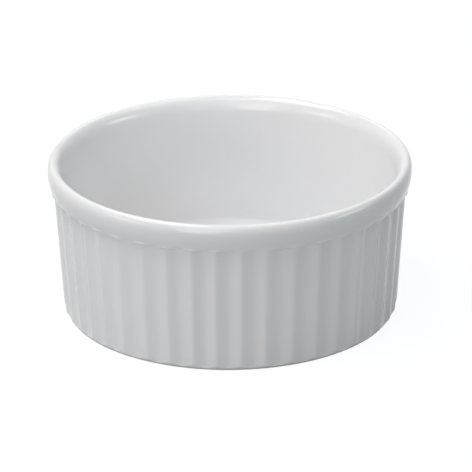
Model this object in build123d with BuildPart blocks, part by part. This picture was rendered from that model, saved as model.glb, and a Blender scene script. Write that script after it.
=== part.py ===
from build123d import *
import os
from math import atan2, cos, degrees, hypot, radians, sin

# A round porcelain ramekin with a fluted wall, standing on its bare foot ring.
# The fired clay is one piece. A thin coat of glaze lies all over it but the foot.
# All lengths are in millimetres. The origin is the centre of the foot, +Z is up.

# Overall size
overall_diameter = 100.0
overall_height = 43.4

# Rim band, whose bulging face is widest where the lip starts, and lip
band_height = 7.7
band_draft = 1.2
band_edge_round = 0.3
lip_thickness = 4.2
lip_outer_width = 1.5
lip_outer_height = 2.7
lip_inner_height = 5.5

# Fluted wall, whose first flute faces the front, at an azimuth of -90 degrees
flute_count = 43
first_flute = -90.0
flute_depth = 0.7
crest_width = 0.7
band_overhang = 0.4
wall_taper = 2.25

# Foot
foot_edge_height = 1.6
foot_edge_width = 0.5
foot_ring_height = 0.9
foot_ring_step = 0.15
foot_ring_width = 3.2
foot_ring_round = 0.3
recess_depth = 1.3
recess_corner = 0.8

# Inside
floor_thickness = 3.8
wall_at_floor = 3.7
inside_corner = 4.0

# Glaze
glaze_thickness = 0.25
glaze_line = 0.5

# The flutes are cut in four rounds, so that the cutters of one round stay apart
cutting_rounds = 4
# One overrun serves every cut
overrun = 5.0

# Radii and heights that follow from the sizes above
rim_radius = overall_diameter / 2
lip_top_radius = rim_radius - lip_outer_width
inside_top_radius = rim_radius - lip_thickness
band_bottom = overall_height - band_height
band_bottom_radius = rim_radius - band_draft
crest_top_radius = band_bottom_radius - band_overhang
crest_bottom_radius = crest_top_radius - wall_taper
wall_slope = wall_taper / (band_bottom - foot_edge_height)
foot_edge_radius = crest_bottom_radius - foot_edge_width
foot_ring_radius = foot_edge_radius - foot_ring_step
recess_radius = foot_ring_radius - foot_ring_width
inside_floor = recess_depth + floor_thickness
inside_floor_radius = crest_bottom_radius - wall_at_floor


def crest_radius(height):
    """The radius of the flutes' crests at a height on the tapered wall."""
    return crest_bottom_radius + wall_slope * (height - foot_edge_height)


def flute_section(height):
    """A flute's own radius, and how far its centre lies from the ramekin's axis."""
    crest = crest_radius(height)
    half_angle = radians(180 / flute_count) - crest_width / (2 * crest)
    half_width = crest * sin(half_angle)
    hollow_depth = flute_depth - crest * (1 - cos(half_angle))
    flute_radius = (half_width**2 + hollow_depth**2) / (2 * hollow_depth)
    return flute_radius, crest - flute_depth + flute_radius


def fluted_wall(inset):
    """The tapered wall, solid to the axis, with its rounded foot edge and its flutes."""
    wall_end = band_bottom + band_edge_round
    with BuildPart() as wall:
        with BuildSketch(Plane.XZ):
            with BuildLine():
                side = Line(
                    (crest_bottom_radius - inset, foot_edge_height),
                    (crest_radius(wall_end) - inset, wall_end),
                )
                edge = TangentArc(
                    side @ 0,
                    (foot_edge_radius - inset, foot_ring_height),
                    tangent=side % 0 * -1,
                )
                Polyline(edge @ 1, (0, foot_ring_height), (0, wall_end), side @ 1)
            make_face()
        revolve(axis=Axis.Z)
        # Each flute is a slender cone that leans out with the wall
        lower = foot_ring_height - overrun
        upper = wall_end + overrun
        lower_radius, lower_centre = flute_section(lower)
        upper_radius, upper_centre = flute_section(upper)
        rise = upper - lower
        run = upper_centre - lower_centre
        lean = degrees(atan2(run, rise))
        for first in range(cutting_rounds):
            flutes = range(first, flute_count, cutting_rounds)
            turns = [first_flute + 360 / flute_count * flute for flute in flutes]
            with Locations(*[Location((0, 0, lower), (0, 0, turn)) for turn in turns]):
                with Locations((lower_centre, 0)):
                    Cone(
                        lower_radius + inset,
                        upper_radius + inset,
                        hypot(rise, run),
                        rotation=(0, lean, 0),
                        align=(Align.CENTER, Align.CENTER, Align.MIN),
                        mode=Mode.SUBTRACT,
                    )
    return wall.part


def foot_ring(inset):
    """The plain disc below the flutes, whose edge becomes the foot ring."""
    with BuildPart() as ring:
        with BuildSketch():
            Circle(foot_ring_radius - inset)
        extrude(amount=foot_ring_height)
    return ring.part


def rim_band(inset):
    """The bulging band round the top, solid to the axis, with the outer half of the lip."""
    top = overall_height - inset
    bottom = band_bottom + inset
    lip_start = overall_height - lip_outer_height
    with BuildPart() as band:
        with BuildSketch(Plane.XZ):
            with BuildLine():
                lip = EllipticalCenterArc(
                    (lip_top_radius, lip_start),
                    lip_outer_width - inset,
                    lip_outer_height - inset,
                    arc_size=90,
                )
                face = TangentArc(
                    lip @ 0,
                    (band_bottom_radius - inset, bottom),
                    tangent=lip % 0 * -1,
                )
                Polyline(lip @ 1, (0, top), (0, bottom), face @ 1)
            make_face()
            corner = vertices().group_by(Axis.Y)[0].sort_by(Axis.X)[-1]
            fillet(corner, band_edge_round)
        revolve(axis=Axis.Z)
    return band.part


def bowl_space(inset):
    """The space inside the dish, from above the lip down to the floor."""
    floor = inside_floor - inset
    above = overall_height + overrun
    lip_end = overall_height - lip_inner_height
    with BuildPart() as space:
        with BuildSketch(Plane.XZ):
            with BuildLine():
                lip = EllipticalCenterArc(
                    (lip_top_radius, lip_end),
                    lip_top_radius - inside_top_radius - inset,
                    lip_inner_height - inset,
                    start_angle=180,
                    arc_size=-90,
                )
                Polyline(lip @ 1, (lip_top_radius, above), (0, above), (0, floor))
                Polyline((0, floor), (inside_floor_radius + inset, floor), lip @ 0)
            make_face()
            corner = vertices().group_by(Axis.Y)[0].sort_by(Axis.X)[-1]
            fillet(corner, inside_corner + inset)
        revolve(axis=Axis.Z)
    return space.part


def foot_recess(inset):
    """The shallow recess under the floor, which leaves the foot ring standing."""
    with BuildPart() as recess:
        with BuildSketch():
            Circle(recess_radius + inset)
        extrude(amount=recess_depth + inset)
        fillet(recess.edges().sort_by(Axis.Z)[-1], recess_corner)
    return recess.part


def dish(inset):
    """The whole dish, with each face that glaze covers taken into the clay by inset."""
    masses = fluted_wall(inset), foot_ring(inset), rim_band(inset)
    hollows = bowl_space(inset), foot_recess(inset)
    with BuildPart() as whole:
        add(masses)
        add(hollows, mode=Mode.SUBTRACT)
    return whole.part


def save(piece, name):
    """Label a finished piece and write it as the node of that name."""
    piece.label = name
    export_step(piece, f"parts/{name}.step")


os.makedirs("parts", exist_ok=True)

# Fired clay, with the lower edges of its bare foot ring rounded
clay = dish(glaze_thickness)
with BuildPart() as porcelain_body:
    add(clay)
    contact_face = porcelain_body.faces().sort_by(Axis.Z)[0]
    fillet(contact_face.edges(), foot_ring_round)
save(porcelain_body.part, "porcelain_body")

# All the glaze: what the glazed dish has beyond the clay, down to the glaze line
glazed = dish(0)
with BuildPart() as all_glaze:
    add(glazed)
    add(clay, mode=Mode.SUBTRACT)
    with BuildSketch():
        Circle(rim_radius)
    extrude(amount=glaze_line, mode=Mode.SUBTRACT)

# The bare foot ring parts the glaze into two: inside and outside coat, and underside
with BuildPart() as glaze_coat:
    add(all_glaze.solids().sort_by(SortBy.VOLUME)[-1])
save(glaze_coat.part, "glaze_coat")

with BuildPart() as underside_glaze:
    add(all_glaze.solids().sort_by(SortBy.VOLUME)[0])
save(underside_glaze.part, "underside_glaze")
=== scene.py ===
from math import asin, atan2, cos, exp, hypot, pi, radians, sin, sqrt

import bpy
import numpy as np
from mathutils import Matrix, Vector


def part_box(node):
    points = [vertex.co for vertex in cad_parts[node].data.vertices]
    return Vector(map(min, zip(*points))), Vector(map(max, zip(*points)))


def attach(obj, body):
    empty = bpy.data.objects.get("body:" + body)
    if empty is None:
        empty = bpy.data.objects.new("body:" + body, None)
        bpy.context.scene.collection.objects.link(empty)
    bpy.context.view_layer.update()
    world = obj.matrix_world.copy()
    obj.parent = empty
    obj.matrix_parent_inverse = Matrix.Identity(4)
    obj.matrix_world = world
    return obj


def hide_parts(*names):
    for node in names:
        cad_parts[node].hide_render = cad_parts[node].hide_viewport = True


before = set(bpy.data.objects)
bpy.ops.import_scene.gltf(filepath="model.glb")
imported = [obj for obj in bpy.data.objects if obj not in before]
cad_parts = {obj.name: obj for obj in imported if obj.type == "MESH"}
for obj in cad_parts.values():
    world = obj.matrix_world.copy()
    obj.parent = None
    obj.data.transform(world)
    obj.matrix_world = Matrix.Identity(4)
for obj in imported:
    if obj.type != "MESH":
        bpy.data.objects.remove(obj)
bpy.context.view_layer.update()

# The visual model of a glazed porcelain ramekin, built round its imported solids.
# All lengths are in metres. The origin is the centre of the foot, +Z is up.

coat_low, coat_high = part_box("glaze_coat")
underside_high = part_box("underside_glaze")[1]

# Overall size and the glaze line, from the frame
rim_radius = coat_high.x
overall_height = coat_high.z
glaze_line = coat_low.z

# Rim band, whose bulging face is widest where the lip starts, and lip
band_height = 0.0077
band_draft = 0.0012
band_edge_round = 0.00040
# A small bead just above the band's lower edge, which waves with the flutes
bead_at_crest = 0.00030
bead_at_valley = -0.00018
bead_height = 0.00035
lip_thickness = 0.0042
lip_outer_width = 0.0015
lip_outer_height = 0.0027
lip_inner_height = 0.0055

# Fluted wall, whose first flute faces the front
flute_count = 43
first_flute = -pi / 2
flute_depth = 0.00073
crest_softness = 0.00057
# How round the flutes' valleys are, from 0 for a sharp V
valley_roundness = 0.5
band_overhang = 0.0004
# The crests end in small rounded shoulders just below the band
shoulder_height = 0.0006
shoulder_width = 0.0002
shoulder_gap = 0.0001
# Some crests in front stray from even spacing: the first lies this many flutes from the front
stray_start = -5.5
# How many degrees each of them strays
strays = (-0.9, -0.9, 0, 0, 0, -0.65, -0.75, -0.9, -0.1, 0.28, 0.5, 0.6, 0.6)
wall_taper = 0.00225

# Foot
foot_edge_height = 0.0016
foot_edge_width = 0.0005
foot_edge_softness = 0.00020
foot_ring_height = 0.0009
foot_ring_step = 0.00015
recess_depth = 0.0013
recess_corner = 0.0008

# Inside
inside_floor = 0.0051
wall_at_floor = 0.0037
inside_corner = 0.0040

# Glaze
glaze_thickness = 0.00025
glaze_edge_height = 0.00020
# How far the fired surface strays inwards from its true shape
unevenness = 0.00004
# Its slow waves: how many go round the dish, where they start, and how they turn with height
fired_waves = ((3, 0.7, 90), (7, 2.1, -160), (13, 4.4, 240), (29, 1.3, -410))

# Columns of the mesh in each flute, and how they crowd towards the crests
flute_columns = 20
crest_crowding = 1.8
# Columns of the plain rings
lip_columns = 430
inside_columns = 220
least_columns = 24
# Rings of the mesh on each stretch, from the foot up and over the lip to the corner inside
foot_edge_rings = 10
wall_rings = 19
shoulder_rings = 8
band_edge_rings = 6
lip_outer_rings = 15
lip_inner_rings = 11
inside_wall_rings = 9
inside_corner_rings = 11
recess_corner_rings = 9
# How the rings crowd towards the lower end of the foot edge, and of the wall
foot_edge_crowding = 1.2
wall_crowding = 1.3
# Where the rings lie on the glaze's rounded end, on the band's face and on the floor
glaze_edge_shares = (0.3, 0.6, 1.0)
face_shares = (0.02, 0.045, 0.07, 0.1, 0.135, 0.18, 0.25, 0.36, 0.5, 0.65, 0.8, 0.92)
floor_shares = (0.9, 0.75, 0.6, 0.45, 0.3, 0.15, 0.05)

# Radii and heights that follow from the sizes above
lip_top_radius = rim_radius - lip_outer_width
inside_top_radius = rim_radius - lip_thickness
band_bottom = overall_height - band_height
band_bottom_radius = rim_radius - band_draft
crest_top_radius = band_bottom_radius - band_overhang
crest_bottom_radius = crest_top_radius - wall_taper
wall_slope = wall_taper / (band_bottom - foot_edge_height)
foot_edge_radius = crest_bottom_radius - foot_edge_width
foot_ring_radius = foot_edge_radius - foot_ring_step
inside_floor_radius = crest_bottom_radius - wall_at_floor
recess_radius = underside_high.x - glaze_thickness
flute_pitch = 2 * pi / flute_count


def smooth_min(a, b, softness):
    """The lesser of a and b, with the edge where they cross rounded off."""
    overlap = np.maximum(softness - np.abs(a - b), 0)
    return np.minimum(a, b) - overlap**2 / (4 * softness)


def flute_turns(per_flute, evenness=0):
    """The azimuths of a ring's columns on the fluted wall, crowded at the crests or more even."""
    steps = np.arange(per_flute) / per_flute * 2 - 1
    crowded = np.sign(steps) * (1 - (1 - np.abs(steps)) ** crest_crowding)
    shares = (crowded * (1 - evenness) + steps * evenness) / 2
    flutes = np.arange(flute_count)
    return first_flute + ((flutes[:, None] + shares[None, :]) * flute_pitch).ravel()


def even_turns(count):
    """The azimuths of a plain ring's columns, from the crest where a fluted ring's start."""
    return first_flute - flute_pitch / 2 + np.arange(count) * 2 * pi / count


def strayed(turns, radius, height):
    """A ring's radii with the slow unevenness of a cast and fired surface."""
    waves = sum(
        np.sin(count * turns + start + turning * height) for count, start, turning in fired_waves
    )
    return radius - unevenness * (1 + waves / len(fired_waves)) / 2


def crest_radius(height):
    """The radius of the flutes' crests at a height on the tapered wall."""
    return crest_bottom_radius + wall_slope * (height - foot_edge_height)


def from_valley(turns):
    """How far columns lie from their flute's valley: 0 in the valley and 1 on a crest."""
    return np.abs(((turns - first_flute) / flute_pitch + 0.5) % 1 - 0.5) * 2


def face_radius(turns, height):
    """The radii of the band's face, an arc that leaves the lip upright and leans in to the bead."""
    face_height = band_height - lip_outer_height
    arc_radius = (face_height**2 + band_draft**2) / (2 * band_draft)
    drop = overall_height - lip_outer_height - height
    wave = (1 - np.cos(pi * from_valley(turns))) / 2
    above_bead = (height - band_bottom - band_edge_round) / bead_height
    bead = (bead_at_valley + (bead_at_crest - bead_at_valley) * wave) * exp(-(above_bead**2))
    return rim_radius - arc_radius + sqrt(arc_radius**2 - drop**2) + bead


def foot_edge(height):
    """The radius of the rounded foot edge, an arc that the wall runs into."""
    lean = atan2(wall_taper, band_bottom - foot_edge_height)
    chord = hypot(foot_edge_width, foot_edge_height - foot_ring_height)
    inward = foot_edge_width * cos(lean) - (foot_edge_height - foot_ring_height) * sin(lean)
    edge_radius = chord**2 / (2 * inward)
    centre_radius = crest_bottom_radius - edge_radius * cos(lean)
    centre_height = foot_edge_height + edge_radius * sin(lean)
    drop = min(height - centre_height, 0)
    # Above the edge, the radius grows out of the wall's way
    above = max(height - foot_edge_height, 0)
    return centre_radius + sqrt(edge_radius**2 - drop**2) + above


def wall_radius(turns, height):
    """The radii of the fluted wall at a height, with rounded crests and foot edge."""
    valley = crest_radius(height) - flute_depth
    sharp_depth = flute_depth + crest_softness / 4
    place = from_valley(turns)

    def side(share):
        rise = np.sqrt(share**2 + valley_roundness**2) - valley_roundness
        return valley + sharp_depth * rise / (sqrt(1 + valley_roundness**2) - valley_roundness)

    fluted = smooth_min(side(place), side(2 - place), crest_softness)
    return smooth_min(fluted, foot_edge(height), foot_edge_softness)


def turn_strays(turns):
    """How far the columns of a ring stray sideways, so that the flutes are unevenly spaced."""
    count = len(strays) + 2
    places = first_flute + (stray_start - 1 + np.arange(count)) * flute_pitch
    amounts = np.radians([0, *strays, 0])
    return np.interp(turns, places, amounts, period=2 * pi)


def ring(turns, radius, height, uneven=True):
    """The points of one ring of the mesh."""
    if uneven:
        radius = strayed(turns, radius, height)
    turned = turns + turn_strays(turns)
    heights = np.full(turns.shape, height)
    return np.stack([radius * np.cos(turned), radius * np.sin(turned), heights], axis=1)


def coat_rings():
    """The rings of the coat's outer skin, from its glaze line over the lip to the inside floor."""
    rings = []
    shared = flute_turns(flute_columns // 2)
    turns = flute_turns(flute_columns)

    # The glaze ends in a rounded edge on the side of the foot ring
    clay_radius = foot_ring_radius - glaze_thickness
    rings.append(ring(shared, clay_radius, glaze_line, uneven=False))
    for step in glaze_edge_shares:
        swing = step * pi / 2
        rings.append(
            ring(
                turns,
                clay_radius + glaze_thickness * sin(swing),
                glaze_line + glaze_edge_height * (1 - cos(swing)),
                uneven=False,
            )
        )

    # The foot ring's small step and the rounded foot edge, where the flutes die out
    step_height = foot_ring_height - foot_ring_step / 2
    rings.append(ring(turns, foot_ring_radius + foot_ring_step / 4, step_height))
    for step in np.linspace(0, 1, foot_edge_rings) ** foot_edge_crowding:
        height = foot_ring_height + (foot_edge_height - foot_ring_height) * step
        rings.append(ring(turns, wall_radius(turns, height), height))

    # The wall, up to the shoulders of the crests
    wall_top = band_bottom - shoulder_gap - shoulder_height
    for step in np.linspace(0, 1, wall_rings)[1:] ** wall_crowding:
        height = foot_edge_height + (wall_top - foot_edge_height) * step
        rings.append(ring(turns, wall_radius(turns, height), height))

    # The crests' shoulders, which draw in below the band
    for swing in np.linspace(0, pi / 2, shoulder_rings)[1:]:
        height = wall_top + shoulder_height * sin(swing)
        shoulder = crest_radius(height) - shoulder_width * (1 - cos(swing))
        rings.append(ring(turns, np.minimum(wall_radius(turns, height), shoulder), height))

    # The ledge under the band
    rings.append(ring(turns, np.minimum(wall_radius(turns, band_bottom), shoulder), band_bottom))

    # The band's rounded lower edge, its bead and its bulging face, where the columns even out
    face_bottom = band_bottom + band_edge_round
    ledge_end = face_radius(turns, face_bottom) - band_edge_round
    for swing in np.linspace(0, pi / 2, band_edge_rings):
        radius = ledge_end + band_edge_round * sin(swing)
        rings.append(ring(turns, radius, band_bottom + band_edge_round * (1 - cos(swing))))
    lip_start = overall_height - lip_outer_height
    for step in face_shares:
        spread = flute_turns(flute_columns, step)
        height = face_bottom + (lip_start - face_bottom) * step
        rings.append(ring(spread, face_radius(spread, height), height))

    # The lip, an outer and an inner quarter of an ellipse
    spread = even_turns(lip_columns)
    for swing in np.linspace(0, pi / 2, lip_outer_rings):
        radius = lip_top_radius + lip_outer_width * cos(swing)
        rings.append(ring(spread, radius, lip_start + lip_outer_height * sin(swing)))
    lip_end = overall_height - lip_inner_height
    for swing in np.linspace(pi / 2, pi, lip_inner_rings)[1:]:
        radius = lip_top_radius + (lip_top_radius - inside_top_radius) * cos(swing)
        rings.append(ring(spread, radius, lip_end + lip_inner_height * sin(swing)))

    # The inside wall and the round corner at the floor
    spread = even_turns(inside_columns)
    lean = atan2(inside_top_radius - inside_floor_radius, lip_end - inside_floor)
    corner_height = inside_floor + inside_corner
    corner_reach = inside_corner * (1 / cos(lean) - sin(lean) / cos(lean))
    corner_radius = inside_floor_radius - corner_reach
    wall_foot_radius = corner_radius + inside_corner * cos(lean)
    wall_foot_height = corner_height - inside_corner * sin(lean)
    for step in np.linspace(0, 1, inside_wall_rings)[1:]:
        radius = inside_top_radius + (wall_foot_radius - inside_top_radius) * step
        rings.append(ring(spread, radius, lip_end + (wall_foot_height - lip_end) * step))
    for swing in np.linspace(-lean, -pi / 2, inside_corner_rings)[1:]:
        radius = corner_radius + inside_corner * cos(swing)
        rings.append(ring(spread, radius, corner_height + inside_corner * sin(swing)))

    # The floor
    for share in floor_shares:
        count = max(int(inside_columns * share), least_columns)
        rings.append(ring(even_turns(count), corner_radius * share, inside_floor))
    return rings


def underside_rings():
    """The rings of the underside glaze's outer skin, from its glaze line to the centre."""
    rings = []
    turns = even_turns(inside_columns)
    clay_radius = recess_radius + glaze_thickness
    for step in (0, *glaze_edge_shares):
        swing = step * pi / 2
        rings.append(
            ring(
                turns,
                clay_radius - glaze_thickness * sin(swing),
                glaze_line + glaze_edge_height * (1 - cos(swing)),
                uneven=False,
            )
        )
    # A round corner leads from the side of the recess to its roof
    corner_height = recess_depth - recess_corner
    corner_start = asin(max(glaze_line + glaze_edge_height - corner_height, 0) / recess_corner)
    for swing in np.linspace(corner_start, pi / 2, recess_corner_rings)[1:]:
        radius = recess_radius - recess_corner * (1 - cos(swing))
        rings.append(ring(turns, radius, corner_height + recess_corner * sin(swing), uneven=False))
    for share in floor_shares:
        count = max(int(inside_columns * share), least_columns)
        rings.append(ring(even_turns(count), recess_radius * share, recess_depth, uneven=False))
    return rings


def strip(lower, upper):
    """The faces between two rings of point numbers: quads if they match, else triangles."""
    here, there = len(lower), len(upper)
    if here == there:
        turn = range(here)
        return [(lower[i], lower[(i + 1) % here], upper[(i + 1) % here], upper[i]) for i in turn]
    faces = []
    i = j = 0
    while i < here or j < there:
        if (i + 1) * there <= (j + 1) * here:
            faces.append((lower[i], lower[(i + 1) % here], upper[j % there]))
            i += 1
        else:
            faces.append((lower[i % here], upper[(j + 1) % there], upper[j]))
            j += 1
    return faces


def skin_faces(rings, start):
    """The faces of a skin of rings that ends in a point, and the numbers of each ring's points."""
    numbers = []
    for points in rings:
        numbers.append(list(range(start, start + len(points))))
        start += len(points)
    faces = []
    for lower, upper in zip(numbers, numbers[1:]):
        faces.extend(strip(lower, upper))
    last = numbers[-1]
    for here in range(len(last)):
        faces.append((last[here], last[(here + 1) % len(last)], start))
    return faces, numbers


def new_mesh(name, points, faces):
    """A smooth-shaded mesh."""
    mesh = bpy.data.meshes.new(name)
    mesh.from_pydata([tuple(point) for point in points], [], faces)
    mesh.polygons.foreach_set("use_smooth", [True] * len(mesh.polygons))
    mesh.update()
    return mesh


def glaze_shell(name, rings, facing_down=False):
    """A closed shell of glaze: an outer skin of rings, and a coarser inner skin on the clay."""
    centre = np.array([[0, 0, rings[-1][0, 2]]])
    outer_points = np.concatenate([*rings, centre])
    outer_faces, outer_numbers = skin_faces(rings, 0)
    turned = [face[::-1] for face in outer_faces] if facing_down else outer_faces
    draft = new_mesh(name + "_draft", outer_points, turned)
    normals = np.zeros(len(outer_points) * 3)
    draft.vertices.foreach_get("normal", normals)
    bpy.data.meshes.remove(draft)
    on_clay = outer_points - normals.reshape(-1, 3) * glaze_thickness

    # The inner skin takes every second ring, and every second column where they are close
    inner_rings = []
    for number in range(2, len(rings), 2):
        kept = outer_numbers[number]
        if len(kept) > inside_columns:
            kept = kept[::2]
        inner_rings.append(on_clay[kept])
    inner_start = len(outer_points)
    inner_faces, inner_numbers = skin_faces(inner_rings, inner_start)
    first = outer_numbers[0]
    inner_faces = strip(first, inner_numbers[0]) + inner_faces
    points = np.concatenate([outer_points, *inner_rings, on_clay[inner_start - 1 : inner_start]])
    faces = outer_faces + [face[::-1] for face in inner_faces]
    if facing_down:
        faces = [face[::-1] for face in faces]
    piece = bpy.data.objects.new(name, new_mesh(name, points, faces))
    bpy.context.scene.collection.objects.link(piece)
    return piece


coat = glaze_shell("glaze_coat_surface", coat_rings())
underside = glaze_shell("underside_glaze_surface", underside_rings(), facing_down=True)


# Materials

# White glaze. Where it is thin, the fired clay under it shows through a little
glaze_colour = (0.872, 0.872, 0.872)
glaze_shade = (0.856, 0.858, 0.860)
thin_glaze = (0.835, 0.825, 0.805)
speck_colour = (0.36, 0.31, 0.25)
glaze_smoothest = 0.09
glaze_dullest = 0.14
refraction = 1.5

# Layers of detail in a smooth noise, a rich one and the richest
smooth_layers = 1.0
rich_layers = 3.0
richest_layers = 4.0
# Slow clouds in the glaze's colour and gloss: waves to a metre, and the part of the noise they use
colour_waves = 45.0
colour_range = (0.35, 0.65)
gloss_waves = 120.0
gloss_range = (0.3, 0.7)
# The pointiness of sharp edges, where a flat face has a half, and how much thin glaze they show
sharp_range = (0.515, 0.60)
thin_strength = 0.5
# Iron specks and pinholes: cells to a metre, their size in a cell, and the share of cells with one
iron_specks = (160.0, 0.022, 0.06)
iron_strength = 0.7
pinholes = (230.0, 0.020, 0.10)
# The even middle of a speck, before it fades
speck_middle_share = 0.6

# The glaze's relief: the slow run, its orange peel and the pinholes
run_waves = 70.0
run_rise = 0.000020
peel_waves = 420.0
peel_rise = 0.0000030
pinhole_rise = 0.000012

# Cutlery marks on the inside floor: their turn, stretch, waves to a metre and part of the noise
cutlery_marks = ((0.5, 60.0, 60.0, 0.64, 0.70), (-0.9, 50.0, 50.0, 0.65, 0.71))
# They fade between two heights over the floor, and between two distances in from its edge
mark_heights = (0.0008, 0.0016)
mark_insets = (0.006, 0.002)
# What lies further than this below the floor has none, so the underside stays clean
mark_depth = 0.0005
# How much they grey the glaze, and how much rougher they make it
mark_strength = 0.06
mark_dulling = 0.10
# Wear at the foot fades between two heights, and comes in patches
foot_wear_heights = (0.0006, 0.0020)
foot_wear_waves = 300.0
foot_wear_range = (0.4, 0.7)
foot_dulling = 0.20

# Bare clay of the foot ring, with the grey that tables leave on it
clay_colour = (0.70, 0.67, 0.61)
clay_shade = (0.61, 0.58, 0.53)
clay_mark = (0.36, 0.35, 0.34)
clay_smoothest = 0.74
clay_dullest = 0.90
clay_waves = 180.0
clay_rise = 0.000040
grain_waves = 5000.0
grain_rise = 0.000018
clay_specks = (900.0, 0.12, 0.12)
# The grey marks: their turn, stretch and waves to a metre, part of the noise and strength
table_mark_turn = 0.7
table_mark_stretch = 12.0
table_mark_waves = 140.0
table_mark_range = (0.56, 0.68)
table_mark_strength = 0.35
table_mark_polish = 0.15


class Nodes:
    """The node tree of a material or a world, with short ways to add and join its nodes."""

    def __init__(self, owner):
        owner.use_nodes = True
        self.owner = owner
        self.tree = owner.node_tree
        self.tree.nodes.clear()

    def add(self, kind, **settings):
        """A new node of a kind, with these settings."""
        node = self.tree.nodes.new(kind)
        for key, value in settings.items():
            setattr(node, key, value)
        return node

    def feed(self, target, value):
        """Joins a socket to an input, or sets the input to a number or a colour."""
        if isinstance(value, bpy.types.NodeSocket):
            self.tree.links.new(value, target)
        elif isinstance(value, tuple):
            target.default_value = (*value, 1) if len(target.default_value) == 4 else value
        else:
            target.default_value = value

    def math(self, operation, *values):
        """The result of an operation on numbers or sockets."""
        node = self.add("ShaderNodeMath", operation=operation)
        for target, value in zip(node.inputs, values):
            self.feed(target, value)
        return node.outputs[0]

    def spread(self, value, low, high, to_low=0.0, to_high=1.0):
        """A value carried over from one range to another, and kept within it."""
        node = self.add("ShaderNodeMapRange")
        for target, number in zip(node.inputs, (value, low, high, to_low, to_high)):
            self.feed(target, number)
        return node.outputs[0]

    def noise(self, place, scale, detail=2.0):
        """Noise with so many waves to a metre."""
        node = self.add("ShaderNodeTexNoise")
        self.feed(node.inputs["Vector"], place)
        self.feed(node.inputs["Scale"], scale)
        self.feed(node.inputs["Detail"], detail)
        return node.outputs[0]

    def stretched(self, place, turn, stretch):
        """Places turned and stretched one way, for noise that makes streaks."""
        node = self.add("ShaderNodeMapping")
        self.feed(node.inputs["Vector"], place)
        node.inputs["Rotation"].default_value = (0, 0, turn)
        node.inputs["Scale"].default_value = (1, stretch, 1)
        return node.outputs[0]

    def specks(self, place, scale, size, share):
        """Round specks, one at most in each cell, in a share of the cells."""
        node = self.add("ShaderNodeTexVoronoi")
        self.feed(node.inputs["Vector"], place)
        self.feed(node.inputs["Scale"], scale)
        chance = self.add("ShaderNodeSeparateColor")
        self.feed(chance.inputs[0], node.outputs["Color"])
        near = self.spread(node.outputs["Distance"], size * speck_middle_share, size, 1.0, 0.0)
        return self.math("MULTIPLY", near, self.math("GREATER_THAN", chance.outputs[0], 1 - share))

    def blend(self, share, low, high):
        """A colour between two others."""
        node = self.add("ShaderNodeMix", data_type="RGBA")
        colours = [socket for socket in node.inputs if socket.type == "RGBA"]
        self.feed(node.inputs["Factor"], share)
        self.feed(colours[0], low)
        self.feed(colours[1], high)
        return [socket for socket in node.outputs if socket.type == "RGBA"][0]

    def bump(self, height, rise, normal=None):
        """A normal bent by a height, whose full range is a rise in metres."""
        node = self.add("ShaderNodeBump")
        node.inputs["Strength"].default_value = 1.0
        node.inputs["Distance"].default_value = rise
        self.feed(node.inputs["Height"], height)
        if normal:
            self.feed(node.inputs["Normal"], normal)
        return node.outputs[0]

    def seen_rays(self):
        """A value of 1 for rays from the camera, in reflections and through glass, else 0."""
        paths = self.add("ShaderNodeLightPath").outputs
        seen = self.math("MAXIMUM", paths["Is Camera Ray"], paths["Is Glossy Ray"])
        return self.math("MAXIMUM", seen, paths["Is Transmission Ray"])

    def finish(self, colour, roughness, normal):
        """The surface shader, joined to the material's output."""
        shader = self.add("ShaderNodeBsdfPrincipled")
        shader.inputs["IOR"].default_value = refraction
        self.feed(shader.inputs["Base Color"], colour)
        self.feed(shader.inputs["Roughness"], roughness)
        self.feed(shader.inputs["Normal"], normal)
        out = self.add("ShaderNodeOutputMaterial")
        self.feed(out.inputs["Surface"], shader.outputs[0])
        return self.owner


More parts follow.
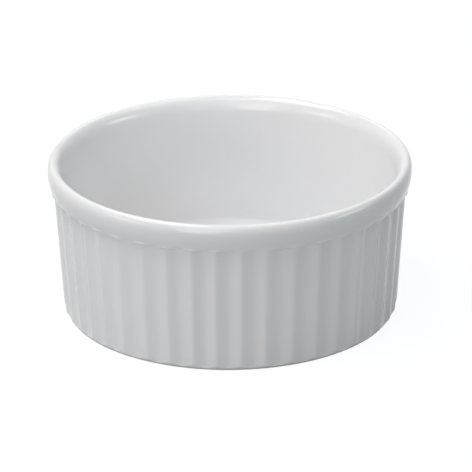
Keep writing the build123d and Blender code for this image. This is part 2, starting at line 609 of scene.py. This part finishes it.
def glaze_material():
    """White glaze: nearly even in colour, glossy, with a faint orange peel, specks and wear."""
    nodes = Nodes(bpy.data.materials.new("white_glaze"))
    place = nodes.add("ShaderNodeTexCoord").outputs["Object"]
    spot = nodes.add("ShaderNodeSeparateXYZ")
    nodes.feed(spot.inputs[0], place)
    height = spot.outputs["Z"]
    reach = nodes.math(
        "SQRT",
        nodes.math(
            "ADD",
            nodes.math("POWER", spot.outputs["X"], 2.0),
            nodes.math("POWER", spot.outputs["Y"], 2.0),
        ),
    )

    # Colour: slow clouds, thin glaze on the sharp edges and a few specks of iron
    clouds = nodes.noise(place, colour_waves, rich_layers)
    colour = nodes.blend(nodes.spread(clouds, *colour_range), glaze_shade, glaze_colour)
    pointiness = nodes.add("ShaderNodeNewGeometry").outputs["Pointiness"]
    colour = nodes.blend(nodes.spread(pointiness, *sharp_range, 0.0, thin_strength), colour, thin_glaze)
    iron = nodes.math("MULTIPLY", nodes.specks(place, *iron_specks), iron_strength)
    colour = nodes.blend(iron, colour, speck_colour)

    # Cutlery marks, on the inside floor alone
    low, high = [inside_floor + rise for rise in mark_heights]
    over_floor = nodes.spread(height, low, high, 1.0, 0.0)
    inner, outer = [inside_floor_radius - inset for inset in mark_insets]
    within = nodes.spread(reach, inner, outer, 1.0, 0.0)
    above_foot = nodes.math("GREATER_THAN", height, inside_floor - mark_depth)
    on_floor = nodes.math("MULTIPLY", nodes.math("MULTIPLY", over_floor, within), above_foot)
    streaks = []
    for turn, stretch, waves, start, full in cutlery_marks:
        streak = nodes.noise(nodes.stretched(place, turn, stretch), waves, rich_layers)
        streaks.append(nodes.spread(streak, start, full))
    scratched = nodes.math("MULTIPLY", nodes.math("MAXIMUM", *streaks), on_floor)
    colour = nodes.blend(nodes.math("MULTIPLY", scratched, mark_strength), colour, clay_mark)

    # Roughness: slow variation, duller where it is marked and at the worn foot
    foot = nodes.spread(height, *foot_wear_heights, 1.0, 0.0)
    patches = nodes.spread(nodes.noise(place, foot_wear_waves), *foot_wear_range)
    foot_wear = nodes.math("MULTIPLY", foot, patches)
    clouds = nodes.noise(place, gloss_waves)
    roughness = nodes.spread(clouds, *gloss_range, glaze_smoothest, glaze_dullest)
    roughness = nodes.math("ADD", roughness, nodes.math("MULTIPLY", scratched, mark_dulling))
    roughness = nodes.math("ADD", roughness, nodes.math("MULTIPLY", foot_wear, foot_dulling))

    # Relief: the slow run of the glaze, its orange peel, and pinholes
    normal = nodes.bump(nodes.noise(place, run_waves, smooth_layers), run_rise)
    normal = nodes.bump(nodes.noise(place, peel_waves, smooth_layers), peel_rise, normal)
    pitted = nodes.math("SUBTRACT", 1.0, nodes.specks(place, *pinholes))
    normal = nodes.bump(pitted, pinhole_rise, normal)
    return nodes.finish(colour, roughness, normal)


def clay_material():
    """Bare fired clay: matte, a little warm and grainy, with marks from the tables it stood on."""
    nodes = Nodes(bpy.data.materials.new("bare_clay"))
    place = nodes.add("ShaderNodeTexCoord").outputs["Object"]
    clouds = nodes.noise(place, clay_waves, rich_layers)
    grain = nodes.noise(place, grain_waves)
    colour = nodes.blend(nodes.spread(clouds, *colour_range), clay_shade, clay_colour)
    colour = nodes.blend(nodes.specks(place, *clay_specks), colour, speck_colour)
    streaks = nodes.stretched(place, table_mark_turn, table_mark_stretch)
    streaks = nodes.noise(streaks, table_mark_waves, richest_layers)
    worn = nodes.spread(streaks, *table_mark_range)
    colour = nodes.blend(nodes.math("MULTIPLY", worn, table_mark_strength), colour, clay_mark)
    roughness = nodes.spread(grain, *gloss_range, clay_smoothest, clay_dullest)
    polish = nodes.math("MULTIPLY", worn, table_mark_polish)
    roughness = nodes.math("SUBTRACT", roughness, polish)
    normal = nodes.bump(clouds, clay_rise)
    normal = nodes.bump(grain, grain_rise, normal)
    return nodes.finish(colour, roughness, normal)


def give(piece, material):
    """Gives a piece its only material."""
    piece.data.materials.clear()
    piece.data.materials.append(material)


white_glaze = glaze_material()
give(coat, white_glaze)
give(underside, white_glaze)
give(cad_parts["porcelain_body"], clay_material())
for piece, node in ((coat, "glaze_coat"), (underside, "underside_glaze")):
    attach(piece, "root")
    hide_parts(node)


# Floor, light and camera

table_half = 3.0
# The floor lies a hair below the foot, so that the two faces don't coincide
floor_drop = 0.00002
floor_colour = (0.40, 0.42, 0.43)
# Where it is seen, the floor is mostly even white and partly lit, so it keeps the shadow
white_share = 0.7
floor_white = (1.305, 1.31, 1.325)


def floor_material():
    """A pale floor that is seen as white, with the object's shadow on it."""
    nodes = Nodes(bpy.data.materials.new("pale_floor"))
    lit = nodes.add("ShaderNodeBsdfDiffuse")
    lit.inputs["Color"].default_value = (*floor_colour, 1)
    white = nodes.add("ShaderNodeEmission")
    white.inputs["Color"].default_value = (*floor_white, 1)
    white.inputs["Strength"].default_value = 1.0
    mix = nodes.add("ShaderNodeMixShader")
    nodes.feed(mix.inputs["Fac"], nodes.math("MULTIPLY", nodes.seen_rays(), white_share))
    nodes.feed(mix.inputs[1], lit.outputs[0])
    nodes.feed(mix.inputs[2], white.outputs[0])
    out = nodes.add("ShaderNodeOutputMaterial")
    nodes.feed(out.inputs["Surface"], mix.outputs[0])
    return nodes.owner


signs = ((-1, -1), (1, -1), (1, 1), (-1, 1))
corners = [(x * table_half, y * table_half, -floor_drop) for x, y in signs]
floor = bpy.data.objects.new("floor", new_mesh("floor", corners, [(0, 1, 2, 3)]))
floor.data.materials.append(floor_material())
bpy.context.scene.collection.objects.link(floor)


def pale_surround():
    """A surround that is seen as white. The lamps alone light the object."""
    nodes = Nodes(bpy.data.worlds.new("pale_surround"))
    white = nodes.add("ShaderNodeBackground")
    white.inputs["Color"].default_value = (1, 1, 1, 1)
    nodes.feed(white.inputs["Strength"], nodes.seen_rays())
    out = nodes.add("ShaderNodeOutputWorld")
    nodes.feed(out.inputs["Surface"], white.outputs[0])
    return nodes.owner


def softbox(name, azimuth, elevation, width, height, watts, colour):
    """A rectangular lamp that faces the ramekin. Azimuth 0 is +X and -90 is towards the camera."""
    lamp = bpy.data.lights.new(name, "AREA")
    lamp.shape = "RECTANGLE"
    lamp.size = width
    lamp.size_y = height
    lamp.energy = watts
    lamp.color = colour
    lamp_object = bpy.data.objects.new(name, lamp)
    target = Vector((0, 0, overall_height / 2))
    turn, rise = radians(azimuth), radians(elevation)
    away = Vector((cos(turn) * cos(rise), sin(turn) * cos(rise), sin(rise)))
    lamp_object.location = target + away * lamp_distance
    lamp_object.rotation_mode = "QUATERNION"
    lamp_object.rotation_quaternion = away.to_track_quat("Z", "Y")
    bpy.context.scene.collection.objects.link(lamp_object)


lamp_distance = 1.0
# Each softbox's name, azimuth, elevation, width, height, power and colour
softboxes = (
    ("low_front", -108, 5, 0.42, 0.14, 0.88, (1.04, 1.02, 0.93)),
    ("front", -108, 14, 0.42, 0.18, 0.53, (1.05, 1.00, 0.96)),
    ("key", -108, 27, 0.60, 0.40, 1.18, (0.88, 1.02, 1.10)),
    ("low_left", -156, 14, 0.42, 0.18, 0.71, (1.06, 0.95, 0.98)),
    ("low_right", -12, 14, 0.42, 0.18, 0.96, (0.86, 1.02, 1.12)),
    ("back", 90, 45, 0.75, 0.50, 1.74, (0.93, 1.00, 1.07)),
    ("high_left", -180, 65, 0.70, 0.60, 4.98, (1.04, 1.02, 0.95)),
    ("high_front", -120, 65, 0.70, 0.60, 2.10, (0.97, 0.94, 1.09)),
    ("high_right", 0, 65, 0.70, 0.60, 1.76, (1.06, 1.01, 0.93)),
)
bpy.context.scene.world = pale_surround()
for settings in softboxes:
    softbox(*settings)

# The camera, where the photograph's perspective and outline put it
camera_back = 1.0616
camera_height = 0.4643
camera_yaw = 0.0015
camera_pitch = 0.3963
camera_roll = -0.0069
focal_pixels = 4167.5
frame_pixels = 472


def photo_camera():
    """A camera at the photograph's place, angle and focal length."""
    data = bpy.data.cameras.new("camera")
    data.lens = focal_pixels / frame_pixels * data.sensor_width
    camera = bpy.data.objects.new("camera", data)
    forward = Vector(
        (
            sin(camera_yaw) * cos(camera_pitch),
            cos(camera_yaw) * cos(camera_pitch),
            -sin(camera_pitch),
        )
    )
    level = Vector((cos(camera_yaw), -sin(camera_yaw), 0))
    upright = level.cross(forward)
    right = level * cos(camera_roll) + upright * sin(camera_roll)
    up = upright * cos(camera_roll) - level * sin(camera_roll)
    turned = Matrix((right, up, -forward)).transposed().to_4x4()
    camera.matrix_world = Matrix.Translation((0, -camera_back, camera_height)) @ turned
    bpy.context.scene.collection.objects.link(camera)
    return camera


bpy.context.scene.camera = photo_camera()
bpy.context.scene.view_settings.view_transform = "Standard"
